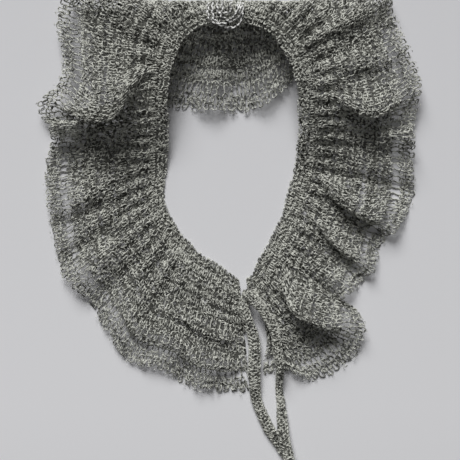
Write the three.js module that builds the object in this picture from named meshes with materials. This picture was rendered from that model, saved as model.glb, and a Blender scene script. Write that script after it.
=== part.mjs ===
// A hand-knitted lace collar laid flat, right side up, with the back of its ruffle turned under.
// Millimetres, +Z up, +Y from the front opening to the back of the neck.
import * as THREE from 'three';

// Cloth
const RUFFLE_WALL = 1.6;
const BAND_WALL = 2.4;
const BAND_EDGE_WALL = 1.9;
const BAND_WIDTH = 8;
const SEAM = 0.3;

// The fold along the back: its line, how much higher it runs over the shoulders, and the layer above,
// which sinks again towards the sides
const FOLD_Y = 116.5;
const SHOULDER_RISE = 12;
const SHOULDER_FROM = 40;
const SHOULDER_TO = 120;
const LAYER_LIFT = 20;
const LIFT_FULL_Y = 78;
const LIFT_NONE_Y = 4;
const SIDE_DROP = 0.65;
const SIDE_FROM = 60;
const SIDE_TO = 125;
const UNDER_SHARE = 0.4;

// Share of the depth past which a fold goes over to its tail, and how many stations a tuck takes to rise
const TAIL_FROM = 0.55;
const TUCK_END = 0.8;

// Small gathers along the band, with the shares where they are whole, fade and end, and hem picots
const GATHERS_PER_STATION = 1.3;
const GATHER_RISE = 2.8;
const GATHER_FULL = 0.12;
const GATHER_FADE = 0.2;
const GATHER_END = 0.6;
const PICOT_SHARE = 0.01;

// Ladder gaps: a bar and a gap make a pair of columns
const BAR_SHARE = 0.36;
const RUFFLE_ROWS = [0, 0.13, 0.26, 0.39, 0.51, 0.575, 0.69, 0.795, 0.895, 1];

// Where the ladders stand open: the row of cells, and the first and last station
const OPEN_LADDERS = table('row first last', [
  [7, 0.2, 1.0],
  [7, 9.2, 10.6],
  [7, 15.7, 17.3],
  [4, 15.6, 18.2],
  [7, 33.0, 37.4],
  [4, 33.4, 36.4],
  [7, 27.0, 29.4],
]);

// Ties: an oval knitted cord
const TIE_HALF_HEIGHT = 1.7;
const TIE_SIDES = 8;
const TIE_STEPS = 46;

// Spread out flat: each station's neck edge and hem, from the left front edge round to the right one
const STATIONS = table('neckX neckY hemX hemY', [
  [6.4, -65.9, 14.0, -143.0],
  [0.7, -62.4, -5.0, -143.5],
  [-8.9, -55.2, -29.0, -139.0],
  [-20.7, -47.9, -50.0, -126.5],
  [-30.2, -38.2, -74.0, -119.5],
  [-37.7, -27.7, -91.0, -93.0],
  [-43.4, -19.1, -99.4, -79.2],
  [-46.4, -10.6, -116.5, -61.5],
  [-46.8, -0.1, -121.8, -42.0],
  [-45.3, 9.7, -126.3, -19.3],
  [-44.6, 20.1, -128.9, 4.0],
  [-43.7, 30.3, -126.7, 24.9],
  [-43.2, 39.3, -123.7, 34.5],
  [-42.7, 48.0, -121.5, 41.5],
  [-43.9, 57.1, -132.0, 48.5],
  [-42.6, 67.9, -131.0, 63.5],
  [-40.6, 79.4, -115.0, 82.0],
  [-37.2, 89.5, -119.5, 120.0],
  [-32.5, 98.3, -99.0, 158.0],
  [-26.4, 105.8, -86.0, 183.0],
  [-18.3, 109.2, -70.0, 200.6],
  [-9.5, 110.5, -36.4, 208.0],
  [0.0, 111.2, -7.0, 210.5],
  [9.5, 111.2, 22.4, 207.5],
  [18.3, 109.2, 52.5, 183.5],
  [26.4, 105.1, 80.5, 180.0],
  [33.1, 97.7, 103.6, 170.6],
  [38.5, 89.5, 109.4, 144.7],
  [42.6, 80.1, 112.5, 122.1],
  [45.3, 70.6, 120.1, 101.8],
  [47.3, 60.5, 129.4, 79.5],
  [47.3, 50.6, 130.8, 61.3],
  [47.9, 41.2, 126.5, 41.1],
  [47.8, 31.7, 127.0, 24.9],
  [46.6, 21.5, 127.5, 7.5],
  [45.3, 11.1, 127.0, -9.9],
  [42.5, 0.6, 117.0, -26.5],
  [39.7, -9.9, 105.0, -41.0],
  [37.0, -20.3, 102.0, -56.0],
  [32.8, -30.1, 87.0, -71.0],
  [27.9, -39.2, 77.0, -81.5],
  [23.0, -47.5, 91.5, -87.0],
  [19.5, -54.5, 97.0, -95.0],
  [16.7, -60.1, 83.5, -121.5],
  [14.7, -64.3, 58.5, -134.5],
  [13.5, -65.1, 40.0, -129.0],
  [11.3, -65.7, 23.5, -131.5],
]);
const LAST = STATIONS.length - 1;

// Folds of the ruffle. at: station at the band, drift: stations gained by the hem, half: half width in
// stations, from and full: share of the depth where it starts and is whole, rise: height in mm, lean: how
// far its crest hangs over, in mm, towards the next station, tail: share of both that is left at the hem
const FOLDS = table('at drift half from full rise lean tail', [
  [1.6, 0.0, 0.8, 0.15, 0.8, 3.0, 0, 1],
  [3.0, 0.2, 1.1, 0.2, 0.9, 4.0, -3, 1],
  [4.6, 0.0, 1.0, 0.1, 0.7, 3.5, -2, 0.8],
  [6.3, 0.2, 0.9, 0.1, 0.8, 8.0, 4, 0.8],
  [8.1, 0.0, 0.7, 0.2, 0.8, 4.0, 0, 0.6],
  [9.4, 0.0, 0.9, 0.2, 0.8, 8.0, -6, 0.6],
  [12.6, 0.0, 0.9, 0.5, 0.85, 15.0, 2, 1],
  [15.3, 0.1, 1.3, 0.1, 0.42, 18.0, -26, 0.2],
  [17.6, 0.0, 0.6, 0.05, 0.6, 5.0, -2, 1],
  [18.9, 0.0, 0.7, 0.3, 0.8, 7.0, 0, 1],
  [20.3, 0.0, 0.7, 0.3, 0.8, 13.0, 0, 1],
  [21.3, 0.3, 0.6, -1, -0.5, 4.0, 3, 0],
  [21.8, 0.0, 0.7, 0.3, 0.8, 15.0, 0, 1],
  [22.7, -0.3, 0.6, -1, -0.5, 4.0, -3, 0],
  [23.2, 0.0, 0.7, 0.3, 0.8, 15.0, 0, 1],
  [24.5, 0.0, 0.7, 0.3, 0.8, 13.0, 0, 1],
  [25.9, 0.0, 0.7, 0.3, 0.8, 8.0, 0, 1],
  [27.4, 0.0, 0.7, 0.05, 0.5, 5.0, 2, 1],
  [29.1, 0.1, 0.7, 0.1, 0.5, 6.0, 4, 0.5],
  [30.4, 0.1, 1.0, 0.15, 0.5, 16.0, 17, 0.2],
  [32.6, 0.0, 0.8, 0.5, 0.85, 11.0, -2, 1],
  [33.8, 0.0, 0.8, 0.1, 0.8, 7.0, 2, 0.7],
  [34.9, 1.0, 0.8, 0.05, 0.5, 13.0, 11, 0.5],
  [36.9, 1.0, 0.8, 0.1, 0.6, 9.0, 8, 0.6],
  [39.1, 0.2, 0.8, 0.15, 0.8, 6.0, 0, 1],
  [41.7, 0.1, 1.3, 0.05, 0.4, 17.0, 21, 0.38],
  [44.6, 0.0, 0.7, 0.1, 0.6, 4.0, 0, 1],
  [46.0, 0.0, 1.6, 0.0, 0.15, 3.0, -7, 0],
]);

// Tucks that run along the hem of the left front: stations, depth share, half width, rise, outward lean
const TUCKS = table('first last at half rise lean', [
  [0.2, 5.0, 0.72, 0.12, 4.5, 4.0],
  [0.4, 3.6, 0.46, 0.11, 3.0, 2.0],
]);

// Ties: points along the middle, from the end of the band to the free end
const TIE_LEFT = table('x y z half', [
  [10.4, -73.4, 8.3, 3.2],
  [15.2, -78.4, 9.4, 3.3],
  [21.4, -84.6, 9.5, 3.4],
  [26.2, -91.4, 9.5, 3.4],
  [30.4, -99.0, 8.6, 3.4],
  [32.6, -107.4, 8.4, 3.3],
  [33.4, -116.6, 8.2, 3.3],
  [35.2, -126.6, 8.3, 3.0],
  [34.6, -133.6, 5.4, 2.6],
  [34.6, -143.0, 2.0, 2.5],
  [36.0, -155.0, 1.8, 3.1],
  [36.8, -166.0, 2.8, 3.9],
  [37.6, -176.0, 5.3, 3.9],
  [40.6, -187.0, 5.8, 3.6],
  [41.0, -196.0, 5.7, 3.5],
  [38.4, -205.5, 2.4, 3.4],
  [37.0, -213.0, 1.8, 3.0],
]);
const TIE_RIGHT = table('x y z half', [
  [12.2, -73.6, 4.5, 3.2],
  [10.6, -79.0, 5.2, 3.3],
  [9.8, -85.0, 6.6, 3.4],
  [11.6, -92.0, 6.5, 3.6],
  [14.8, -100.4, 5.0, 3.8],
  [16.8, -108.8, 4.6, 4.0],
  [17.2, -117.4, 4.6, 4.2],
  [17.0, -127.6, 4.6, 4.3],
  [17.4, -136.6, 4.0, 4.1],
  [17.8, -145.4, 2.4, 3.8],
  [19.4, -152.4, 1.8, 3.7],
  [22.8, -160.4, 1.8, 3.8],
  [27.4, -170.2, 1.8, 3.8],
  [33.6, -179.6, 1.8, 3.6],
  [39.4, -188.6, 1.8, 3.5],
  [45.8, -199.6, 1.8, 3.4],
  [49.2, -210.0, 1.8, 3.0],
]);

// Where the ruffle is divided, in stations, and how far apart stations lie where its seams are narrowest
const LEFT_SEAM = 17.0;
const RIGHT_SEAM = 28.2;
const HEM_PITCH = 10.5;

// Columns of each piece of the ruffle, and of the band
const COLUMNS = { left: 132, back: 88, right: 128, band: 132 };

const YARN = { color: 0x8b8b86, roughness: 0.85, metalness: 0 };
const YARN_DARK = { color: 0x7d7d78, roughness: 0.85, metalness: 0 };

function table(columns, rows) {
  const names = columns.split(' ');
  return rows.map((row) => Object.fromEntries(names.map((name, k) => [name, row[k]])));
}

function ramp(from, to, value) {
  const t = Math.min(1, Math.max(0, (value - from) / (to - from)));
  return t * t * (3 - 2 * t);
}

// Catmull-Rom through a column of the stations
function along(column, u) {
  const i = Math.min(LAST - 1, Math.max(0, Math.floor(u)));
  const t = u - i;
  const value = (k) => STATIONS[Math.min(LAST, Math.max(0, k))][column];
  const [a, b, c, d] = [value(i - 1), value(i), value(i + 1), value(i + 2)];
  return b + 0.5 * t * (c - a + t * (2 * a - 5 * b + 4 * c - d + t * (3 * (b - c) + d - a)));
}

// A rounded bump, 1 at its middle and 0 at its edges
function bump(t) {
  return Math.abs(t) < 1 ? 0.5 + 0.5 * Math.cos(Math.PI * t) : 0;
}

// Rise, sideways lean and outward lean of all folds at a station and a share of the depth
function foldedBy(u, share) {
  const moved = { rise: 0, side: 0, out: 0 };
  for (const fold of FOLDS) {
    const whole = ramp(fold.from, fold.full, share) * (1 - (1 - fold.tail) * ramp(TAIL_FROM, 1, share));
    const size = bump((u - fold.at - fold.drift * share) / fold.half) * whole;
    moved.rise += fold.rise * size;
    moved.side += fold.lean * size;
  }
  for (const tuck of TUCKS) {
    const risen = ramp(tuck.first, tuck.first + TUCK_END, u);
    const ends = risen * (1 - ramp(tuck.last - TUCK_END, tuck.last, u));
    const size = bump((share - tuck.at) / tuck.half) * ends;
    moved.rise += tuck.rise * size;
    moved.out += tuck.lean * size;
  }
  const near = ramp(0, GATHER_FULL, share) * (1 - ramp(GATHER_FADE, GATHER_END, share));
  moved.rise += GATHER_RISE * near * (0.5 - 0.5 * Math.cos(2 * Math.PI * GATHERS_PER_STATION * u));
  return moved;
}

// Turns what lies past the fold line under the rest, on a round bend
function turnUnder(x, y, rise) {
  const line = FOLD_Y + SHOULDER_RISE * ramp(SHOULDER_FROM, SHOULDER_TO, Math.abs(x));
  const past = y - line;
  const height = LAYER_LIFT * (1 - SIDE_DROP * ramp(SIDE_FROM, SIDE_TO, Math.abs(x)));
  const bend = height / 2;
  const floor = RUFFLE_WALL / 2;
  const whole = Math.PI * bend;
  const kept = 1 - (1 - UNDER_SHARE) * ramp(0, whole, past);
  if (past <= 0) {
    const lift = height * ramp(LIFT_NONE_Y, LIFT_FULL_Y, y);
    return new THREE.Vector3(x, y, floor + lift + rise);
  }
  if (past >= whole) return new THREE.Vector3(x, line - past + whole, floor + rise * kept);
  const turn = past / bend;
  const z = floor + bend * (1 + Math.cos(turn)) + rise * kept;
  return new THREE.Vector3(x, line + bend * Math.sin(turn), z);
}

// A point of the cloth's middle: station u, out mm from the neck edge along the spread ruffle
function clothPoint(u, out) {
  const neck = new THREE.Vector2(along('neckX', u), along('neckY', u));
  const radial = new THREE.Vector2(along('hemX', u), along('hemY', u)).sub(neck);
  const depth = radial.length();
  radial.normalize();
  const share = Math.max(0, (out - BAND_WIDTH) / (depth - BAND_WIDTH));
  const folded = foldedBy(u, share);
  const x = neck.x + radial.x * (out + folded.out) + radial.y * folded.side;
  const y = neck.y + radial.y * (out + folded.out) - radial.x * folded.side;
  return turnUnder(x, y, folded.rise);
}

function rufflePoint(u, share) {
  const neck = new THREE.Vector2(along('neckX', u), along('neckY', u));
  const depth = new THREE.Vector2(along('hemX', u), along('hemY', u)).sub(neck).length();
  const start = BAND_WIDTH + SEAM;
  return clothPoint(u, start + (depth - start) * share);
}

// Unit normal of a surface given by two numbers, found from points close by
function normalOf(surface, a, b, stepA, stepB) {
  const alongA = surface(a + stepA, b).sub(surface(a - stepA, b));
  const alongB = surface(a, b + stepB).sub(surface(a, b - stepB));
  return alongA.cross(alongB).normalize();
}

// A closed wall over a grid of points. thick(i, j) is its thickness, open(i, j) leaves a cell out
function wall(columns, rows, point, normal, thick, open) {
  const positions = [];
  for (let i = 0; i <= columns; i++) {
    for (let j = 0; j <= rows; j++) {
      for (const side of [1, -1]) {
        const at = point(i, j).addScaledVector(normal(i, j), side * thick(i, j) / 2);
        positions.push(at.x, at.y, Math.max(0, at.z));
      }
    }
  }
  const top = ([i, j]) => 2 * (i * (rows + 1) + j);
  const solid = (i, j) => i >= 0 && j >= 0 && i < columns && j < rows && !open(i, j);
  const faces = [];
  const quad = (a, b, c, d) => faces.push(a, b, c, a, c, d);
  for (let i = 0; i < columns; i++) {
    for (let j = 0; j < rows; j++) {
      if (!solid(i, j)) continue;
      const corners = [[i, j], [i + 1, j], [i + 1, j + 1], [i, j + 1]];
      const [a, b, c, d] = corners.map(top);
      quad(a, b, c, d);
      quad(d + 1, c + 1, b + 1, a + 1);
      const beside = [[i, j - 1], [i + 1, j], [i, j + 1], [i - 1, j]];
      beside.forEach(([m, n], k) => {
        if (solid(m, n)) return;
        const p = top(corners[k]);
        const q = top(corners[(k + 1) % 4]);
        quad(p, p + 1, q + 1, q);
      });
    }
  }
  const used = [...new Set(faces)].sort((p, q) => p - q);
  const place = new Map(used.map((old, k) => [old, k]));
  const kept = used.flatMap((k) => positions.slice(3 * k, 3 * k + 3));
  return geometryOf(kept, faces.map((k) => place.get(k)));
}

function geometryOf(positions, faces) {
  const geometry = new THREE.BufferGeometry();
  geometry.setAttribute('position', new THREE.Float32BufferAttribute(positions, 3));
  geometry.setIndex(faces);
  return geometry;
}

// One piece of the ruffle between two stations: columns go bar, gap, bar, gap, to a last bar
function ruffle(from, to, columns) {
  const pairs = columns / 2;
  const pitch = (to - from) / pairs;
  const station = (i) => from + pitch * (Math.floor(i / 2) + (i % 2) * BAR_SHARE);
  const picot = (i, j) => (j === RUFFLE_ROWS.length - 1 ? PICOT_SHARE * ((i % 2) * 2 - 1) : 0);
  const share = (i, j) => RUFFLE_ROWS[j] + picot(i, j);
  const point = (i, j) => rufflePoint(station(i), share(i, j));
  const normal = (i, j) => normalOf(rufflePoint, station(i), share(i, j), pitch * 0.3, 0.01);
  const inRun = (u, j) => OPEN_LADDERS.some((run) => run.row === j && u > run.first && u < run.last);
  const open = (i, j) => i % 2 === 1 && i > 1 && i < columns - 2 && inRun(station(i), j);
  return wall(columns, RUFFLE_ROWS.length - 1, point, normal, () => RUFFLE_WALL, open);
}

// The dense band: thicker along its middle, with its underside level with the ruffle's
function neckband() {
  const rows = 2;
  const station = (i) => (LAST * i) / COLUMNS.band;
  const out = (j) => (BAND_WIDTH * j) / rows;
  const thick = (i, j) => (j === 1 ? BAND_WALL : BAND_EDGE_WALL);
  const point = (i, j) => {
    const at = clothPoint(station(i), out(j));
    return at.setZ(at.z + (thick(i, j) - RUFFLE_WALL) / 2);
  };
  const normal = (i, j) => normalOf(clothPoint, station(i), out(j), 0.05, 0.5);
  return wall(COLUMNS.band, rows, point, normal, thick, () => false);
}

// An oval cord along the points, flat side down, as wide as each point says
function tie(points) {
  const path = new THREE.CatmullRomCurve3(points.map((p) => new THREE.Vector3(p.x, p.y, p.z)));
  const widths = new THREE.SplineCurve(points.map((p, k) => new THREE.Vector2(k, p.half)));
  const positions = [];
  const faces = [];
  for (let i = 0; i <= TIE_STEPS; i++) {
    const t = path.getUtoTmapping(i / TIE_STEPS);
    const centre = path.getPoint(t);
    const ahead = path.getTangent(t);
    const across = new THREE.Vector3(ahead.y, -ahead.x, 0).normalize();
    const upward = across.clone().cross(ahead);
    for (let k = 0; k < TIE_SIDES; k++) {
      const turn = (2 * Math.PI * (k + 0.5)) / TIE_SIDES;
      const at = centre.clone().addScaledVector(across, widths.getPoint(t).y * Math.cos(turn));
      at.addScaledVector(upward, TIE_HALF_HEIGHT * Math.sin(turn));
      positions.push(at.x, at.y, Math.max(0, at.z));
    }
  }
  for (let i = 0; i < TIE_STEPS; i++) {
    for (let k = 0; k < TIE_SIDES; k++) {
      const a = i * TIE_SIDES + k;
      const b = i * TIE_SIDES + ((k + 1) % TIE_SIDES);
      faces.push(a, b + TIE_SIDES, b, a, a + TIE_SIDES, b + TIE_SIDES);
    }
  }
  const end = TIE_STEPS * TIE_SIDES;
  for (let k = 1; k < TIE_SIDES - 1; k++) {
    faces.push(0, k, k + 1);
    faces.push(end, end + k + 1, end + k);
  }
  return geometryOf(positions, faces);
}

function piece(name, geometry, look) {
  geometry.computeVertexNormals();
  const mesh = new THREE.Mesh(geometry, new THREE.MeshStandardMaterial(look));
  mesh.name = name;
  return mesh;
}

const gap = SEAM / 2 / HEM_PITCH;
const collar = new THREE.Group();
collar.name = 'lace_collar';
collar.add(piece('neckband', neckband(), YARN_DARK));
collar.add(piece('ruffle_front_left', ruffle(0, LEFT_SEAM - gap, COLUMNS.left), YARN));
collar.add(piece('ruffle_back', ruffle(LEFT_SEAM + gap, RIGHT_SEAM - gap, COLUMNS.back), YARN));
collar.add(piece('ruffle_front_right', ruffle(RIGHT_SEAM + gap, LAST, COLUMNS.right), YARN));
const cloth = new THREE.Box3().setFromObject(collar);
collar.add(piece('tie_left', tie(TIE_LEFT), YARN_DARK));
collar.add(piece('tie_right', tie(TIE_RIGHT), YARN_DARK));
const middle = cloth.getCenter(new THREE.Vector3());
collar.children.forEach((mesh) => mesh.geometry.translate(-middle.x, -middle.y, -cloth.min.z));

export default collar;
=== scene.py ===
import bmesh
import bpy
import numpy as np
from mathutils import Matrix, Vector


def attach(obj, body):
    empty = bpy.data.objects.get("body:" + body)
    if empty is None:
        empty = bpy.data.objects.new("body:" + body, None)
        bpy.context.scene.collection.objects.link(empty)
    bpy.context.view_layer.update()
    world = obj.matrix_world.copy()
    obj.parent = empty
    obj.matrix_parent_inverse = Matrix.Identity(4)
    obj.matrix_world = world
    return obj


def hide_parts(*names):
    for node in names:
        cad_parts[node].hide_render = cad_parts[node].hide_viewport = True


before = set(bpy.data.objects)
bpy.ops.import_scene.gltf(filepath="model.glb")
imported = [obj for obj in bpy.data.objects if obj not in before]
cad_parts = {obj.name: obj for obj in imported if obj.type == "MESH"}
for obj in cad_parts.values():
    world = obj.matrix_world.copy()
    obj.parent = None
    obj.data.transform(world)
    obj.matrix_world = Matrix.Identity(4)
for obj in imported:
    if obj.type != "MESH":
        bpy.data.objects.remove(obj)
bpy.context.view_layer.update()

# The camera hangs above the collar and looks straight down on it, wide enough to take in the
# whole ruffle and most of the ties.
LOOK_AT = (0.0008, -0.0251)
VIEW_WIDTH = 0.322
VIEW_DISTANCE = 0.64
CAMERA_HEIGHT = 0.644
SENSOR_WIDTH = 36.0
camera = bpy.data.cameras.new("camera")
camera.sensor_width = SENSOR_WIDTH
camera.lens = SENSOR_WIDTH * VIEW_DISTANCE / VIEW_WIDTH
camera_object = bpy.data.objects.new("camera", camera)
bpy.context.collection.objects.link(camera_object)
camera_object.location = (*LOOK_AT, CAMERA_HEIGHT)
bpy.context.scene.camera = camera_object

# Ties: two narrow knitted cords, worked on from the ends of the neckband in the same marled wool
# and silver yarn. The left one crosses over the right at the throat and again near the ends.
MM = 0.001
# Middle of the collar, in mm, on the surface that it lies on: every piece is laid out round it
CENTRE = np.array([-0.7845, -5.6530, 0.0])
# x, y and z of the cord's middle and its half width, from the neckband to the free end
TIE_POINTS = {
    "left": [
        (10.4, -73.4, 8.3, 3.2),
        (15.2, -78.4, 9.4, 3.3),
        (21.4, -84.6, 9.5, 3.4),
        (26.2, -91.4, 9.5, 3.4),
        (30.4, -99.0, 8.6, 3.4),
        (32.6, -107.4, 8.4, 3.3),
        (33.4, -116.6, 8.2, 3.3),
        (35.2, -126.6, 8.3, 3.0),
        (34.6, -133.6, 5.4, 2.6),
        (34.6, -143.0, 2.0, 2.5),
        (36.0, -155.0, 1.8, 3.1),
        (36.8, -166.0, 2.8, 3.9),
        (37.6, -176.0, 5.3, 3.9),
        (40.6, -187.0, 5.8, 3.6),
        (41.0, -196.0, 5.7, 3.5),
        (38.4, -205.5, 2.4, 3.4),
        (37.0, -213.0, 1.8, 3.0),
    ],
    "right": [
        (12.2, -73.6, 4.5, 3.2),
        (10.6, -79.0, 5.2, 3.3),
        (9.8, -85.0, 6.6, 3.4),
        (11.6, -92.0, 6.5, 3.6),
        (14.8, -100.4, 5.0, 3.8),
        (16.8, -108.8, 4.6, 4.0),
        (17.2, -117.4, 4.6, 4.2),
        (17.0, -127.6, 4.6, 4.3),
        (17.4, -136.6, 4.0, 4.1),
        (17.8, -145.4, 2.4, 3.8),
        (19.4, -152.4, 1.8, 3.7),
        (22.8, -160.4, 1.8, 3.8),
        (27.4, -170.2, 1.8, 3.8),
        (33.6, -179.6, 1.8, 3.6),
        (39.4, -188.6, 1.8, 3.5),
        (45.8, -199.6, 1.8, 3.4),
        (49.2, -210.0, 1.8, 3.0),
    ],
}
TIE_HALF_HEIGHT = 1.7
# Stitches round the tube, length of a course and half height of a loop in courses, so that each
# loop reaches into the next turn of the spiral
TIE_WALES = 5
TIE_COURSE = 2.6
TIE_LOOP = 0.8
TIE_BULGE = 0.35
# How far a loop strays round the cord, in radians, and out of it, in mm
TIE_STRAY_TURN = 0.08
TIE_STRAY_OUT = 0.2
# Curls: how far each reaches along the cord either way, turns round it and stands out of it
TIE_CURLS_PER_MM = 2.2
TIE_CURL_REACH = 2.0
TIE_CURL_TURN = 0.5
TIE_CURL_RISES = (-0.2, 0.4)
TIE_CURL_POINTS = 4
# The cord's route is every fourth row of its spline
ROUTE_STEP = 4
YARN_RADIUS = 0.5
PLY_RADIUS = 0.24


class Wire:
    """A shader socket that adds its own Math nodes where it stands in an expression."""

    def __init__(self, finish, socket):
        self.finish = finish
        self.socket = socket

    def math(self, operation, first, second):
        values = {0: first, 1: second}
        return self.finish.node("ShaderNodeMath", {"operation": operation}, values)["Value"]

    def __add__(self, other):
        return self.math("ADD", self, other)

    def __radd__(self, other):
        return self.math("ADD", other, self)

    def __sub__(self, other):
        return self.math("SUBTRACT", self, other)

    def __rsub__(self, other):
        return self.math("SUBTRACT", other, self)

    def __mul__(self, other):
        return self.math("MULTIPLY", self, other)

    def __rmul__(self, other):
        return self.math("MULTIPLY", other, self)

    def __gt__(self, other):
        return self.math("GREATER_THAN", self, other)


class Finish:
    """A material: its Principled shader and a way to add nodes to it."""

    def __init__(self, name):
        self.material = bpy.data.materials.new(name)
        self.material.use_nodes = True
        self.nodes = self.material.node_tree.nodes
        self.links = self.material.node_tree.links
        self.shader = self.nodes["Principled BSDF"]

    def plug(self, node, values):
        for key, value in values.items():
            socket = node.inputs[key]
            if isinstance(value, Wire):
                self.links.new(value.socket, socket)
            else:
                socket.default_value = value

    def node(self, kind, settings, values):
        """A new node's outputs by name, once its settings and then its sockets are set."""
        node = self.nodes.new(kind)
        for key, value in settings.items():
            if key == "stops":
                for element, (place, colour) in zip(node.color_ramp.elements, value):
                    element.position = place
                    element.color = (*colour, 1)
            else:
                setattr(node, key, value)
        self.plug(node, values)
        return {socket.name: Wire(self, socket) for socket in node.outputs}

    def noise(self, waves, detail):
        """Noise through the piece's own space, with so many waves in a metre."""
        place = self.node("ShaderNodeTexCoord", {}, {})["Object"]
        values = {"Vector": place, "Scale": waves, "Detail": detail}
        return self.node("ShaderNodeTexNoise", {}, values)["Fac"]

    def tint(self, value, first, last):
        """The colour for a value, between a first and a last stop of a place and a colour."""
        return self.node("ShaderNodeValToRGB", {"stops": (first, last)}, {"Fac": value})["Color"]

    def set(self, **values):
        self.plug(self.shader, {key.replace("_", " "): value for key, value in values.items()})


# Noise waves in a metre of yarn: flecks of the pale ply, slow drift of the marl, single fibres
FLECK_WAVES = 520.0
DRIFT_WAVES = 70.0
FIBRE_WAVES = 4200.0
DRIFT_SHARE = 0.25
MARL_EDGES = (0.42, 0.58)
SHINE_FROM = 0.55
WOOL_ROUGHNESS = 0.8
FIBRE_HEIGHT = 0.0003
# Soft pale light that the loose fibres catch at the edges of a strand
FUZZ = {"Sheen_Weight": 0.2, "Sheen_Roughness": 0.5}


def yarn_finish(name, dark, pale, share, shine):
    """A marl of a dark and a pale ply: share is how much of it is pale, shine its silver thread."""
    finish = Finish(name)
    drift = finish.noise(DRIFT_WAVES, 2.0) - 0.5
    mixed = finish.noise(FLECK_WAVES, 1.0) + drift * DRIFT_SHARE + (share - 0.5)
    colour = finish.tint(mixed, (MARL_EDGES[0], dark), (MARL_EDGES[1], pale))
    fibre = {"Strength": 0.5, "Distance": FIBRE_HEIGHT, "Height": finish.noise(FIBRE_WAVES, 2.0)}
    relief = finish.node("ShaderNodeBump", {}, fibre)["Normal"]
    rough = WOOL_ROUGHNESS - (mixed > SHINE_FROM) * shine
    finish.set(Base_Color=colour, Roughness=rough, Normal=relief, **FUZZ)
    return finish.material


YARN = yarn_finish("marled_yarn", (0.085, 0.086, 0.074), (0.56, 0.565, 0.51), 0.53, 0.3)
PALE_PLY = yarn_finish("pale_ply", (0.22, 0.222, 0.195), (0.73, 0.735, 0.67), 0.56, 0.45)
# Steps between two points of a spline, and the even rows that it is cut into in the end
SPLINE_STEPS = 40
SPLINE_ROWS = 400
STEPS_PER_STITCH = 10
# How much narrower a loop's neck is than its head, in stitches
LOOP_PINCH = 0.15


def catmull_rom(a, b, c, d, t):
    """The curve from b to c at shares t, with a and d the points before and after them."""
    return b + 0.5 * t * (c - a + t * (2 * a - 5 * b + 4 * c - d + t * (3 * (b - c) + d - a)))


def distances(points):
    """How far along a row of points each one lies."""
    steps = np.linalg.norm(np.diff(points, axis=0), axis=1)
    return np.concatenate([[0], np.cumsum(steps)])


def spline(points):
    """A smooth curve through rows of x, y, z and more, as even rows, and its length."""
    rows = np.array(points, float)
    padded = np.vstack([2 * rows[0] - rows[1], rows, 2 * rows[-1] - rows[-2]])
    t = np.linspace(0, 1, SPLINE_STEPS, endpoint=False)[:, None]
    spans = zip(padded, padded[1:], padded[2:], padded[3:])
    fine = np.vstack([catmull_rom(*span, t) for span in spans] + [rows[-1:]])
    gone = distances(fine[:, :3])
    even = np.linspace(0, gone[-1], SPLINE_ROWS)
    return np.stack([np.interp(even, gone, column) for column in fine.T], axis=1), gone[-1]


def picked(rows, places):
    """The rows at places between them, where 0 is the first row."""
    return np.stack([np.interp(places, range(len(rows)), column) for column in rows.T], axis=1)


def loops(wales):
    """A course of knitted loops: how far its yarn runs along the cloth, in stitches, and up and out
    of it, from -1 to 1."""
    turn = np.linspace(0, 2 * np.pi * wales, wales * STEPS_PER_STITCH + 1)
    return turn / (2 * np.pi) + LOOP_PINCH * np.sin(2 * turn), np.cos(turn), np.cos(2 * turn)


def finished(name, mesh, material):
    """A piece made of the mesh, in the material, that rides on the collar's one body."""
    mesh.materials.clear()
    mesh.materials.append(material)
    piece = bpy.data.objects.new(name, mesh)
    bpy.context.collection.objects.link(piece)
    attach(piece, "root")
    return piece


def spun(name, runs, radius, material):
    """One piece of yarn: a round strand along each run of points, in metres, radius in mm."""
    line = bpy.data.curves.new(name, "CURVE")
    line.dimensions = "3D"
    line.bevel_depth = radius * MM
    line.bevel_resolution = 0
    line.use_fill_caps = True
    for run in runs:
        strand = line.splines.new("POLY")
        strand.points.add(len(run) - 1)
        strand.points.foreach_set("co", np.column_stack([run, np.ones(len(run))]).ravel())
    shape = bpy.data.objects.new(name, line)
    bpy.context.collection.objects.link(shape)
    scene_now = bpy.context.evaluated_depsgraph_get()
    mesh = bpy.data.meshes.new_from_object(shape.evaluated_get(scene_now))
    bpy.data.objects.remove(shape)
    mesh.name = name
    mesh.polygons.foreach_set("use_smooth", np.ones(len(mesh.polygons), bool))
    piece = finished(name, mesh, material)
    return piece


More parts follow.
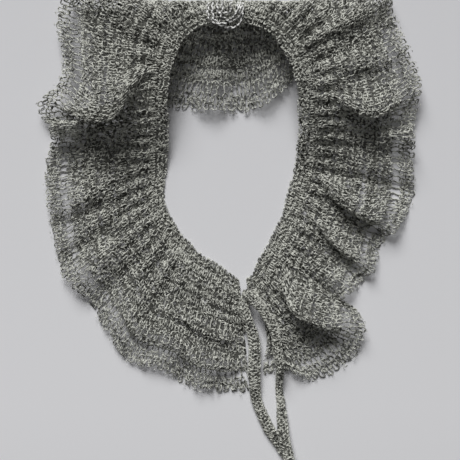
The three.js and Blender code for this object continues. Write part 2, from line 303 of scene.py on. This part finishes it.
def knitted_cord(side, points, seed):
    """A tube of loops along the points, with the pale ply curling out of it."""
    path, length = spline(points)
    ahead = np.gradient(path[:, :3], axis=0)
    ahead /= np.linalg.norm(ahead, axis=1)[:, None]
    across = np.stack([ahead[:, 1], -ahead[:, 0], np.zeros(len(path))], axis=1)
    across /= np.linalg.norm(across, axis=1)[:, None]
    rows = np.column_stack([path, across, np.cross(across, ahead)])

    def round_tube(share, angle, out):
        """Points at shares of the length and angles round the cord, out mm from its skin."""
        row = picked(rows, np.clip(share, 0, 1) * (len(rows) - 1))
        sideways = ((row[:, 3] + out) * np.cos(angle))[:, None] * row[:, 4:7]
        upright = ((TIE_HALF_HEIGHT + out) * np.sin(angle))[:, None] * row[:, 7:10]
        found = row[:, :3] + sideways + upright
        found[:, 2] = np.maximum(found[:, 2], YARN_RADIUS)
        return (found - CENTRE) * MM

    chance = np.random.default_rng(seed)
    # The loops wind round the tube in one long spiral, a course for each turn
    courses = int(length / TIE_COURSE)
    stitches = TIE_WALES * courses
    along, up, out = loops(stitches)
    turned = along / TIE_WALES
    wobble = np.repeat(chance.normal(0, 1, (stitches + 1, 2)), STEPS_PER_STITCH, 0)[: len(along)]
    angle = turned * 2 * np.pi + wobble[:, 0] * TIE_STRAY_TURN
    proud = out * TIE_BULGE + wobble[:, 1] * TIE_STRAY_OUT - YARN_RADIUS
    yarn = round_tube((turned + up * TIE_LOOP) / courses, angle, proud)
    cord = spun(f"tie_{side}_knit", [yarn], YARN_RADIUS, YARN)
    count = int(length * TIE_CURLS_PER_MM)
    steps = np.linspace(-1, 1, TIE_CURL_POINTS)
    reach = TIE_CURL_REACH / length
    place = chance.uniform(0, 1, (count, 1)) + chance.uniform(-reach, reach, (count, 1)) * steps
    facing = chance.uniform(0, 2 * np.pi, (count, 1))
    turn = facing + chance.normal(0, TIE_CURL_TURN, (count, 1)) * steps
    proud = chance.uniform(*TIE_CURL_RISES, (count, 1)) * (1 - steps**2)
    curls = round_tube(place.ravel(), turn.ravel(), proud.ravel())
    curls = curls.reshape(count, TIE_CURL_POINTS, 3)
    pale = spun(f"tie_{side}_curls", curls, PLY_RADIUS, PALE_PLY)
    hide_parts("tie_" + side)
    route = (path[:, :3] - CENTRE) * MM
    route_points = route[::ROUTE_STEP].tolist() + [route[-1].tolist()]


for seed, (side, points) in enumerate(TIE_POINTS.items()):
    knitted_cord(side, points, seed)

# Neckband: three dense courses of knitting round the neck edge, from one front corner to the
# other. The ruffle is worked on from its outer edge, so both follow the same sheet of cloth.
RUFFLE_WALL = 1.6
BAND_WIDTH = 8.0
# The back turns under along a line at FOLD_Y, which rises towards the shoulders
FOLD_Y = 116.5
SHOULDER_RISE = 12.0
SHOULDER_FROM = 40.0
SHOULDER_TO = 120.0
# Height of the upper layer over the one turned under, and how the cloth climbs to it
LAYER_LIFT = 20.0
LIFT_FULL_Y = 78.0
LIFT_NONE_Y = 4.0
SIDE_DROP = 0.65
SIDE_FROM = 60.0
SIDE_TO = 125.0
# Share of a fold's rise that is left in the layer turned under
UNDER_SHARE = 0.4
# Gathers along the band: the shares of the ruffle's depth where they are whole, fade and end
GATHERS_PER_STATION = 1.3
GATHER_RISE = 2.8
GATHER_FULL = 0.12
GATHER_FADE = 0.2
GATHER_END = 0.6
# Share of the depth from which a fold sinks towards the hem
TAIL_FROM = 0.55
# Stations over which each end of a tuck rises
TUCK_END = 0.8
# neck x and y, hem x and y of each station, with the cloth spread out flat
STATIONS = np.array([
    [6.4, -65.9, 14.0, -143.0],
    [0.7, -62.4, -5.0, -143.5],
    [-8.9, -55.2, -29.0, -139.0],
    [-20.7, -47.9, -50.0, -126.5],
    [-30.2, -38.2, -74.0, -119.5],
    [-37.7, -27.7, -91.0, -93.0],
    [-43.4, -19.1, -99.4, -79.2],
    [-46.4, -10.6, -116.5, -61.5],
    [-46.8, -0.1, -121.8, -42.0],
    [-45.3, 9.7, -126.3, -19.3],
    [-44.6, 20.1, -128.9, 4.0],
    [-43.7, 30.3, -126.7, 24.9],
    [-43.2, 39.3, -123.7, 34.5],
    [-42.7, 48.0, -121.5, 41.5],
    [-43.9, 57.1, -132.0, 48.5],
    [-42.6, 67.9, -131.0, 63.5],
    [-40.6, 79.4, -115.0, 82.0],
    [-37.2, 89.5, -119.5, 120.0],
    [-32.5, 98.3, -99.0, 158.0],
    [-26.4, 105.8, -86.0, 183.0],
    [-18.3, 109.2, -70.0, 200.6],
    [-9.5, 110.5, -36.4, 208.0],
    [0.0, 111.2, -7.0, 210.5],
    [9.5, 111.2, 22.4, 207.5],
    [18.3, 109.2, 52.5, 183.5],
    [26.4, 105.1, 80.5, 180.0],
    [33.1, 97.7, 103.6, 170.6],
    [38.5, 89.5, 109.4, 144.7],
    [42.6, 80.1, 112.5, 122.1],
    [45.3, 70.6, 120.1, 101.8],
    [47.3, 60.5, 129.4, 79.5],
    [47.3, 50.6, 130.8, 61.3],
    [47.9, 41.2, 126.5, 41.1],
    [47.8, 31.7, 127.0, 24.9],
    [46.6, 21.5, 127.5, 7.5],
    [45.3, 11.1, 127.0, -9.9],
    [42.5, 0.6, 117.0, -26.5],
    [39.7, -9.9, 105.0, -41.0],
    [37.0, -20.3, 102.0, -56.0],
    [32.8, -30.1, 87.0, -71.0],
    [27.9, -39.2, 77.0, -81.5],
    [23.0, -47.5, 91.5, -87.0],
    [19.5, -54.5, 97.0, -95.0],
    [16.7, -60.1, 83.5, -121.5],
    [14.7, -64.3, 58.5, -134.5],
    [13.5, -65.1, 40.0, -129.0],
    [11.3, -65.7, 23.5, -131.5],
])
LAST = len(STATIONS) - 1
# station at the band, stations gained by the hem, half width, share where it starts and is whole,
# rise, lean and the share of both that is left at the hem
FOLDS = [
    (1.6, 0.0, 0.8, 0.15, 0.8, 3.0, 0, 1),
    (3.0, 0.2, 1.1, 0.2, 0.9, 4.0, -3, 1),
    (4.6, 0.0, 1.0, 0.1, 0.7, 3.5, -2, 0.8),
    (6.3, 0.2, 0.9, 0.1, 0.8, 8.0, 4, 0.8),
    (8.1, 0.0, 0.7, 0.2, 0.8, 4.0, 0, 0.6),
    (9.4, 0.0, 0.9, 0.2, 0.8, 8.0, -6, 0.6),
    (12.6, 0.0, 0.9, 0.5, 0.85, 15.0, 2, 1),
    (15.3, 0.1, 1.3, 0.1, 0.42, 18.0, -26, 0.2),
    (17.6, 0.0, 0.6, 0.05, 0.6, 5.0, -2, 1),
    (18.9, 0.0, 0.7, 0.3, 0.8, 7.0, 0, 1),
    (20.3, 0.0, 0.7, 0.3, 0.8, 13.0, 0, 1),
    (21.3, 0.3, 0.6, -1, -0.5, 4.0, 3, 0),
    (21.8, 0.0, 0.7, 0.3, 0.8, 15.0, 0, 1),
    (22.7, -0.3, 0.6, -1, -0.5, 4.0, -3, 0),
    (23.2, 0.0, 0.7, 0.3, 0.8, 15.0, 0, 1),
    (24.5, 0.0, 0.7, 0.3, 0.8, 13.0, 0, 1),
    (25.9, 0.0, 0.7, 0.3, 0.8, 8.0, 0, 1),
    (27.4, 0.0, 0.7, 0.05, 0.5, 5.0, 2, 1),
    (29.1, 0.1, 0.7, 0.1, 0.5, 6.0, 4, 0.5),
    (30.4, 0.1, 1.0, 0.15, 0.5, 16.0, 17, 0.2),
    (32.6, 0.0, 0.8, 0.5, 0.85, 11.0, -2, 1),
    (33.8, 0.0, 0.8, 0.1, 0.8, 7.0, 2, 0.7),
    (34.9, 1.0, 0.8, 0.05, 0.5, 13.0, 11, 0.5),
    (36.9, 1.0, 0.8, 0.1, 0.6, 9.0, 8, 0.6),
    (39.1, 0.2, 0.8, 0.15, 0.8, 6.0, 0, 1),
    (41.7, 0.1, 1.3, 0.05, 0.4, 17.0, 21, 0.38),
    (44.6, 0.0, 0.7, 0.1, 0.6, 4.0, 0, 1),
    (46.0, 0.0, 1.6, 0.0, 0.15, 3.0, -7, 0),
]
# first and last station, share of the depth, half width, rise and outward lean
TUCKS = [
    (0.2, 5.0, 0.72, 0.12, 4.5, 4.0),
    (0.4, 3.6, 0.46, 0.11, 3.0, 2.0),
]


def ease(start, stop, value):
    """0 up to start, 1 from stop on, and smooth between them."""
    t = np.clip((value - start) / (stop - start), 0, 1)
    return t * t * (3 - 2 * t)


def bump(t):
    """A smooth hump from -1 to 1, 1 high at 0."""
    return np.where(np.abs(t) < 1, 0.5 + 0.5 * np.cos(np.pi * t), 0)


def station(u):
    """The neck point and the hem point at stations u, which may lie between whole ones."""
    i = np.clip(np.floor(u).astype(int), 0, LAST - 1)
    around = [STATIONS[np.clip(i + k, 0, LAST)] for k in (-1, 0, 1, 2)]
    row = catmull_rom(*around, (u - i)[:, None])
    return row[:, :2], row[:, 2:]


def cloth(u, depth):
    """The cloth's middle, in mm, at stations u. depth runs from -1 at the neck edge through 0 at
    the band's outer edge to 1 at the hem."""
    neck, hem = station(u)
    radial = hem - neck
    whole = np.linalg.norm(radial, axis=1)
    radial /= whole[:, None]
    share = np.maximum(depth, 0)
    out = BAND_WIDTH * (1 + np.minimum(depth, 0)) + (whole - BAND_WIDTH) * share
    rise, side, push = np.zeros(len(u)), np.zeros(len(u)), np.zeros(len(u))
    for at, drift, half, start, full, height, lean, tail in FOLDS:
        grown = ease(start, full, share) * (1 - (1 - tail) * ease(TAIL_FROM, 1, share))
        size = bump((u - at - drift * share) / half) * grown
        rise += height * size
        side += lean * size
    for first, last, at, half, height, lean in TUCKS:
        ends = ease(first, first + TUCK_END, u) * (1 - ease(last - TUCK_END, last, u))
        size = bump((share - at) / half) * ends
        rise += height * size
        push += lean * size
    near = ease(0, GATHER_FULL, share) * (1 - ease(GATHER_FADE, GATHER_END, share))
    rise += GATHER_RISE * near * (0.5 - 0.5 * np.cos(2 * np.pi * GATHERS_PER_STATION * u))
    x = neck[:, 0] + radial[:, 0] * (out + push) + radial[:, 1] * side
    y = neck[:, 1] + radial[:, 1] * (out + push) - radial[:, 0] * side
    # Past the fold line the cloth goes round a half circle and back underneath
    line = FOLD_Y + SHOULDER_RISE * ease(SHOULDER_FROM, SHOULDER_TO, np.abs(x))
    past = y - line
    height = LAYER_LIFT * (1 - SIDE_DROP * ease(SIDE_FROM, SIDE_TO, np.abs(x)))
    bend = height / 2
    half_turn = np.pi * bend
    kept = 1 - (1 - UNDER_SHARE) * ease(0, half_turn, past)
    turn = np.clip(past / bend, 0, np.pi)
    lift = height * ease(LIFT_NONE_Y, LIFT_FULL_Y, y)
    z = np.where(past <= 0, lift + rise, bend * (1 + np.cos(turn)) + rise * kept)
    y = np.where(past <= 0, y, line + bend * np.sin(turn) - np.maximum(past - half_turn, 0))
    return np.stack([x, y, RUFFLE_WALL / 2 + z], axis=1)


# Samples of the cloth for each station along it and for the whole ruffle's depth
SAMPLES_ALONG = 40
SAMPLES_DEEP = 90
# How far a hand-knitted loop strays: along the course in stitches, in height and up the cloth as
# shares of its half height, and out of the cloth in mm
STRAY_ALONG = 0.16
STRAY_HEIGHT = 0.2
STRAY_UP = 0.2
STRAY_OUT = 0.3
CURL_POINTS = 3
CURL_TURN = 1.1
CURL_SIZES = (0.7, 1.3)
# How far the ends of a curl stand out of the cloth, and how much further its middle does
CURL_OUT = 0.5
CURL_RISES = (0.2, 1.1)


class Lattice:
    """The cloth between two stations and two depths, sampled finely, with its normals."""

    def __init__(self, first, last, top, bottom):
        self.us = np.linspace(first, last, int((last - first) * SAMPLES_ALONG) + 1)
        self.depths = np.linspace(top, bottom, int((bottom - top) * SAMPLES_DEEP) + 1)
        u, depth = np.meshgrid(self.us, self.depths, indexing="ij")
        self.points = cloth(u.ravel(), depth.ravel()).reshape(*u.shape, 3)
        across = np.gradient(self.points, self.us, axis=0)
        down = np.gradient(self.points, self.depths, axis=1)
        normals = np.cross(across, down)
        self.stretch_along = np.linalg.norm(across, axis=2)
        self.stretch_down = np.linalg.norm(down, axis=2)
        self.areas = np.linalg.norm(normals, axis=2)
        self.normals = normals / np.maximum(self.areas, 1e-9)[:, :, None]

    def at(self, u, depth, out):
        """Points out mm above the cloth's middle, not below the surface it lies on."""
        i = np.interp(u, self.us, np.arange(len(self.us)))
        j = np.interp(depth, self.depths, np.arange(len(self.depths)))
        a = np.minimum(i.astype(int), len(self.us) - 2)
        b = np.minimum(j.astype(int), len(self.depths) - 2)
        s, t = (i - a)[:, None], (j - b)[:, None]

        def between(grid):
            low = grid[a, b] * (1 - s) + grid[a + 1, b] * s
            high = grid[a, b + 1] * (1 - s) + grid[a + 1, b + 1] * s
            return low * (1 - t) + high * t

        points = between(self.points) + between(self.normals) * np.asarray(out)[:, None]
        points[:, 2] = np.maximum(points[:, 2], YARN_RADIUS)
        return (points - CENTRE) * MM

    def course(self, depth, height, pitch, bulge, seed):
        """One course of loops at a depth: height is a loop's half height in depth, pitch in mm."""
        line = self.at(self.us, np.full(len(self.us), depth), np.zeros(len(self.us)))
        gone = distances(line)
        wales = max(3, round(gone[-1] / (pitch * MM)))
        along, up, out = loops(wales)
        knots = np.random.default_rng(seed).normal(0, 1, (wales + 2, 4))
        stray = np.stack([np.interp(along, np.arange(-1, wales + 1), column) for column in knots.T])
        place = (along + stray[0] * STRAY_ALONG) * gone[-1] / wales
        u = np.interp(place, gone, self.us)
        where = depth + height * (up * (1 + stray[1] * STRAY_HEIGHT) + stray[2] * STRAY_UP)
        return u, self.at(u, where, out * bulge + stray[3] * STRAY_OUT)

    def curls(self, count, length, seed):
        """Short curls of about a length in mm that stand out of both faces, evenly spread."""
        chance = np.random.default_rng(seed)
        spots = chance.choice(self.areas.size, count, p=self.areas.ravel() / self.areas.sum())
        i, j = np.unravel_index(spots, self.areas.shape)
        along = np.linspace(-1, 1, CURL_POINTS)
        facing = chance.uniform(0, 2 * np.pi, (count, 1))
        turn = facing + chance.normal(0, CURL_TURN, (count, 1)) * along
        step = length * chance.uniform(*CURL_SIZES, (count, 1)) / (CURL_POINTS - 1)
        stretch_along, stretch_down = self.stretch_along[i, j, None], self.stretch_down[i, j, None]
        u = self.us[i, None] + np.cumsum(np.cos(turn) * step, 1) / stretch_along
        depth = self.depths[j, None] + np.cumsum(np.sin(turn) * step, 1) / stretch_down
        face = chance.choice([-1, 1], (count, 1))
        out = face * (CURL_OUT + chance.uniform(*CURL_RISES, (count, 1)) * (1 - along**2))
        points = self.at(u.ravel(), depth.ravel(), out.ravel()).reshape(count, CURL_POINTS, 3)
        return self.us[i], self.depths[j], points


# Noise waves in a metre of the ground: its holes and its shading
HOLE_WAVES = 330.0
SHADE_WAVES = 900.0
# The noise above which there is a hole, and how much of what lies behind shows through it
HOLE_LEVEL = 0.5
HOLE_SHARE = 0.9
# depth from which the ground is more open, and how much more
HEM_OPENING = [(0.68, 0.12), (0.8, 0.18)]
# Darkest and lightest wool of the ground, painted dark for the shade inside the fabric, at their
# places in the shading
GROUND_SHADE_DARK = (0.35, (0.03, 0.03, 0.026))
GROUND_SHADE_LIGHT = (0.7, (0.12, 0.12, 0.105))
# Faces for each station, and for the ruffle's whole depth
GROUND_FACES_ALONG = 6
GROUND_FACES_DEEP = 26


def ground_with_shade_finish():
    """Charcoal wool painted dark for the shade inside the fabric, with small holes, more and more
    of them towards the hem.
    """
    finish = Finish("ground")
    map_place = finish.node("ShaderNodeTexCoord", {}, {})["UV"]
    depth = finish.node("ShaderNodeSeparateXYZ", {}, {"Vector": map_place})["Y"]
    hole = finish.noise(HOLE_WAVES, 1.0)
    for start, more in HEM_OPENING:
        hole = hole + (depth > start) * more
    shade = finish.noise(SHADE_WAVES, 1.0)
    # The ground's dark colour is painted shade between the strands, over the wool's own charcoal
    # tone
    colour = finish.tint(shade, GROUND_SHADE_DARK, GROUND_SHADE_LIGHT)
    finish.set(Base_Color=colour, Roughness=0.9, Alpha=1 - (hole > HOLE_LEVEL) * HOLE_SHARE)
    return finish.material


GROUND_WITH_SHADE = ground_with_shade_finish()


def ground(name, lattice, first, last, top, bottom, gaps):
    """The crossed backs of the stitches, painted dark for the shade inside the fabric: a thin shell
    on the cloth's middle, open at the gaps.
    Its map holds how far along and how deep in the cloth each corner lies."""
    shell = bmesh.new()
    uv = shell.loops.layers.uv.new("cloth")
    along = int((last - first) * GROUND_FACES_ALONG)
    deep = int((bottom - top) * GROUND_FACES_DEEP)
    bmesh.ops.create_grid(shell, x_segments=along, y_segments=deep, size=1)
    shell.verts.ensure_lookup_table()
    flat = np.array([vertex.co for vertex in shell.verts])
    u = first + (flat[:, 0] + 1) / 2 * (last - first)
    depth = top + (flat[:, 1] + 1) / 2 * (bottom - top)
    for vertex, place in zip(shell.verts, lattice.at(u, depth, np.zeros(len(u)))):
        vertex.co = place
    lost = []
    for face in shell.faces:
        for corner in face.loops:
            corner[uv].uv = (u[corner.vert.index] / LAST, max(0, depth[corner.vert.index]))
        at = np.mean([(u[vertex.index], depth[vertex.index]) for vertex in face.verts], axis=0)
        if any(a < at[0] < b and c < at[1] < d for a, b, c, d in gaps):
            lost.append(face)
    bmesh.ops.delete(shell, geom=lost, context="FACES")
    bmesh.ops.recalc_face_normals(shell, faces=shell.faces)
    mesh = bpy.data.meshes.new(name)
    shell.to_mesh(mesh)
    shell.free()
    return finished(name, mesh, GROUND_WITH_SHADE)


BAND_COURSES = (-0.78, -0.45, -0.12)
BAND_LOOP = 0.27
BAND_STITCH = 3.6
BAND_BULGE = 0.6
BAND_CURLS = 1500
BAND_CURL_LENGTH = 1.7
BAND_CURL_SEED = 7
# Depths that the band's loops may reach, and those that its ground fills
BAND_REACH = (-1.12, 0.06)
BAND_FILL = (-0.95, 0.04)
# Station and half width, in stations, of the bunch at the back, which leaves no room for curls
BUNCH_STATION = 21.6
BUNCH_HALF = 1.2
band = Lattice(0, LAST, *BAND_REACH)
band_runs = []
for seed, depth in enumerate(BAND_COURSES):
    band_runs.append(band.course(depth, BAND_LOOP, BAND_STITCH, BAND_BULGE, seed)[1])
band_knit = spun("neckband_knit", band_runs, YARN_RADIUS, YARN)
curl_stations, _, band_loose = band.curls(BAND_CURLS, BAND_CURL_LENGTH, BAND_CURL_SEED)
band_loose = band_loose[np.abs(curl_stations - BUNCH_STATION) > BUNCH_HALF]
band_curls = spun("neckband_curls", band_loose, PLY_RADIUS, PALE_PLY)
band_ground = ground("neckband_ground", band, 0, LAST, *BAND_FILL, [])

# A small gathered bunch at the centre back, where the band dips over its own edge: nested U-shaped
# courses of thicker silver yarn, from the neck edge up across the band.
BUNCH_RADII = (3.0, 6.6, 9.6, 12.0)
BUNCH_ARM = 5.0
BUNCH_ARM_POINTS = 5
BUNCH_TURN_POINTS = 9
# How far beyond the neck edge the rings are centred, and how high the innermost lies on the band
BUNCH_BEYOND = 7.2
BUNCH_HEIGHT = 3.4
BUNCH_STEP_DOWN = 0.6
BUNCH_STITCH = 4.4
BUNCH_LOOP = 0.4
BUNCH_BULGE = 0.3
BUNCH_YARN_RADIUS = 0.7
# Share by which a ring's radius varies, how fast it does so round the ring, and its shift from one
# ring to the next
BUNCH_UNEVEN = 0.09
BUNCH_WAVES = 3.4
BUNCH_WAVE_SHIFT = 2.3
# How far the rings stray to either side, in mm, and by how much of a turn from one to the next
BUNCH_STRAY = 0.9
BUNCH_STRAY_TURN = 2.1
# The rings follow the bend of the back's fold this far, as a share of its radius
BEND_FOLLOWED = 0.95
BUNCH_FOOT = band.at([BUNCH_STATION], [-1.0], [0.0])[0] / MM + CENTRE
SILVER_PLY = yarn_finish("silver_ply", (0.12, 0.12, 0.115), (0.8, 0.8, 0.78), 0.52, 0.5)


def bunch_course(ring, radius):
    """One uneven U of loops, laid on the band where it bends down towards the back's fold."""
    turn = np.linspace(0, np.pi, BUNCH_TURN_POINTS)
    uneven = radius * (1 + BUNCH_UNEVEN * np.sin(BUNCH_WAVES * turn + BUNCH_WAVE_SHIFT * ring))
    arm = np.linspace(BUNCH_ARM, 0, BUNCH_ARM_POINTS + 1)[:-1]
    left = np.full(BUNCH_ARM_POINTS, -uneven[0])
    right = np.full(BUNCH_ARM_POINTS, uneven[-1])
    aside = BUNCH_STRAY * np.sin(BUNCH_STRAY_TURN * ring)
    across = np.concatenate([left, -uneven * np.cos(turn), right]) + aside
    up = np.concatenate([arm, -uneven * np.sin(turn), arm[::-1]]) + BUNCH_BEYOND
    line, length = spline(np.column_stack([across, up, np.zeros(len(up))]))
    along, wave, out = loops(round(length / BUNCH_STITCH))
    places = np.clip(along / along[-1], 0, 1) * (len(line) - 1)
    x, y, _ = (picked(line, places) + wave[:, None] * BUNCH_LOOP).T
    height = BUNCH_HEIGHT - ring * BUNCH_STEP_DOWN + out * BUNCH_BULGE
    past = np.clip((BUNCH_FOOT[1] + y - FOLD_Y) / (LAYER_LIFT / 2), 0, BEND_FOLLOWED)
    drop = LAYER_LIFT / 2 * (1 - np.sqrt(1 - past**2))
    return (BUNCH_FOOT + np.column_stack([x, y, height - drop]) - CENTRE) * MM


bunch_runs = [bunch_course(ring, radius) for ring, radius in enumerate(BUNCH_RADII)]
bunch = spun("neckband_bunch", bunch_runs, BUNCH_YARN_RADIUS, SILVER_PLY)
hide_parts("neckband")

# Ruffle: lace knitted outwards from the band in one piece, two close courses and then one of long
# loops, over and over, ending in a tall ladder and three looser edge courses. The pale ply of its
# yarn curls out all over, and thins out towards the hem.
# height of a course in mm, kind of course
LACE = [(2.9, "close"), (2.9, "close"), (4.6, "ladder")] * 5
LACE += [(2.9, "close"), (2.9, "close"), (7.0, "ladder")]
LACE += [(2.6, "edge"), (2.8, "edge"), (2.4, "edge")]
# Half height of a loop in heights of its course, and its width in close stitches
REACH = {"close": 0.85, "ladder": 0.62, "edge": 0.9}
SPREAD = {"close": 1.0, "ladder": 1.8, "edge": 1.3}
# A stitch's width near the band and further out, where the ruffle widens
STITCH_NEAR = 3.7
STITCH_FAR = 4.3
FAR_FROM = 30.0
LACE_BULGE = 0.7
# The solid each stretch is dressed for, its stations, and the size it is knitted to, with its area
STRETCHES = [
    ("ruffle_front_left", 0, 17.0, (0.34, 0.1), 0.0236),
    ("ruffle_back", 17.0, 28.2, (0.3, 0.1), 0.0199),
    ("ruffle_front_right", 28.2, LAST, (0.32, 0.1), 0.0212),
]
# first and last station and depth of the ladders that stand open
GAPS = [
    (0.2, 1.0, 0.795, 0.895),
    (9.2, 10.6, 0.795, 0.895),
    (15.7, 17.3, 0.795, 0.895),
    (15.6, 18.2, 0.51, 0.575),
    (33.0, 37.4, 0.795, 0.895),
    (33.4, 36.4, 0.51, 0.575),
    (27.0, 29.4, 0.795, 0.895),
]
# Depths that the lace's loops may reach, and those that its ground fills
LACE_REACH = (0, 1.03)
LACE_FILL = (0, 0.975)
LACE_CURLS = 19000
LACE_CURL_LENGTH = 1.9
LACE_CURL_SEED = 50
# depth past which every third curl is left out, and past which two in three are
THIN_FROM = 0.76
THINNER_FROM = 0.88
# depth down to which the bunch leaves no room for curls
BUNCH_CLEAR = 0.1
lace = Lattice(0, LAST, *LACE_REACH)
lace_depth = sum(height for height, kind in LACE)
courses = []
done = 0.0
for row, (height, kind) in enumerate(LACE):
    depth = (done + height / 2) / lace_depth
    done += height
    pitch = (STITCH_NEAR if done < FAR_FROM else STITCH_FAR) * SPREAD[kind]
    bulge = LACE_BULGE if row % 2 else -LACE_BULGE
    courses.append(lace.course(depth, REACH[kind] * height / lace_depth, pitch, bulge, row))
curl_stations, curl_depths, curls = lace.curls(LACE_CURLS, LACE_CURL_LENGTH, LACE_CURL_SEED)
kept = np.ones(len(curls), bool)
for start, stop, top, bottom in GAPS:
    beside = (curl_stations < start) | (curl_stations > stop)
    kept &= beside | (curl_depths < top) | (curl_depths > bottom)
kept[::3] &= curl_depths[::3] < THIN_FROM
kept[1::3] &= curl_depths[1::3] < THINNER_FROM
kept &= (np.abs(curl_stations - BUNCH_STATION) > BUNCH_HALF) | (curl_depths > BUNCH_CLEAR)
for name, first, last, cut, area in STRETCHES:
    middle = (first + last) / 2
    halves = []
    for side, (start, stop) in enumerate(((first, middle), (middle, last))):
        runs = []
        for u, points in courses:
            begin = np.argmax(u >= start)
            end = np.argmax(u >= stop) if stop < LAST else len(u)
            runs.append(points[begin : end + 1])
        knit = spun(f"{name}_knit_{side}", runs, YARN_RADIUS, YARN)
        loose = curls[kept & (curl_stations >= start) & (curl_stations < stop)]
        pale = spun(f"{name}_curls_{side}", loose, PLY_RADIUS, PALE_PLY)
        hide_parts(name)
        halves += [knit, pale]
    shell = ground(name + "_ground", lace, first, last, *LACE_FILL, GAPS)

# Studio: a pale floor with painted shade that darkens it beyond the back of the neck, a soft
# window-like lamp on that side, and a faint even fill.
FLOOR_HALF = 3
# The floor's painted shade changes between these stops, on a scale that is 0.5 at the collar's
# middle
FLOOR_NEAR = (0.35, (0.8, 0.8, 0.82))
FLOOR_PAINTED_SHADE = (0.65, (0.66, 0.66, 0.68))
FILL = 0.08
floor_finish = Finish("pale_cloth")
floor_place = floor_finish.node("ShaderNodeTexCoord", {}, {})["Object"]
away = floor_finish.node("ShaderNodeSeparateXYZ", {}, {"Vector": floor_place})["Y"]
# The floor gets darker further along y: this is painted shade, not a tone of the cloth
floor_painted_shade = floor_finish.tint(away + 0.5, FLOOR_NEAR, FLOOR_PAINTED_SHADE)
floor_finish.set(Base_Color=floor_painted_shade, Roughness=0.9)
floor_shape = bmesh.new()
bmesh.ops.create_grid(floor_shape, x_segments=1, y_segments=1, size=FLOOR_HALF)
floor_mesh = bpy.data.meshes.new("floor")
floor_shape.to_mesh(floor_mesh)
floor_shape.free()
floor = bpy.data.objects.new("floor", floor_mesh)
floor.data.materials.append(floor_finish.material)
bpy.context.collection.objects.link(floor)


def lamp(name, place, size, power):
    """A square lamp that shines on the middle of the collar."""
    light = bpy.data.lights.new(name, "AREA")
    light.size = size
    light.energy = power
    thing = bpy.data.objects.new(name, light)
    bpy.context.collection.objects.link(thing)
    thing.location = place
    thing.rotation_mode = "QUATERNION"
    thing.rotation_quaternion = Vector(place).to_track_quat("Z", "Y")


lamp("window", (-0.8, 3.8, 2.6), 2.4, 275.0)
lamp("room", (0.1, -0.2, 2.2), 1.2, 1.5)
world = bpy.data.worlds.new("studio")
world.use_nodes = True
world.node_tree.nodes["Background"].inputs["Color"].default_value = (1, 1, 1, 1)
world.node_tree.nodes["Background"].inputs["Strength"].default_value = FILL
bpy.context.scene.world = world
bpy.context.scene.view_settings.view_transform = "Standard"
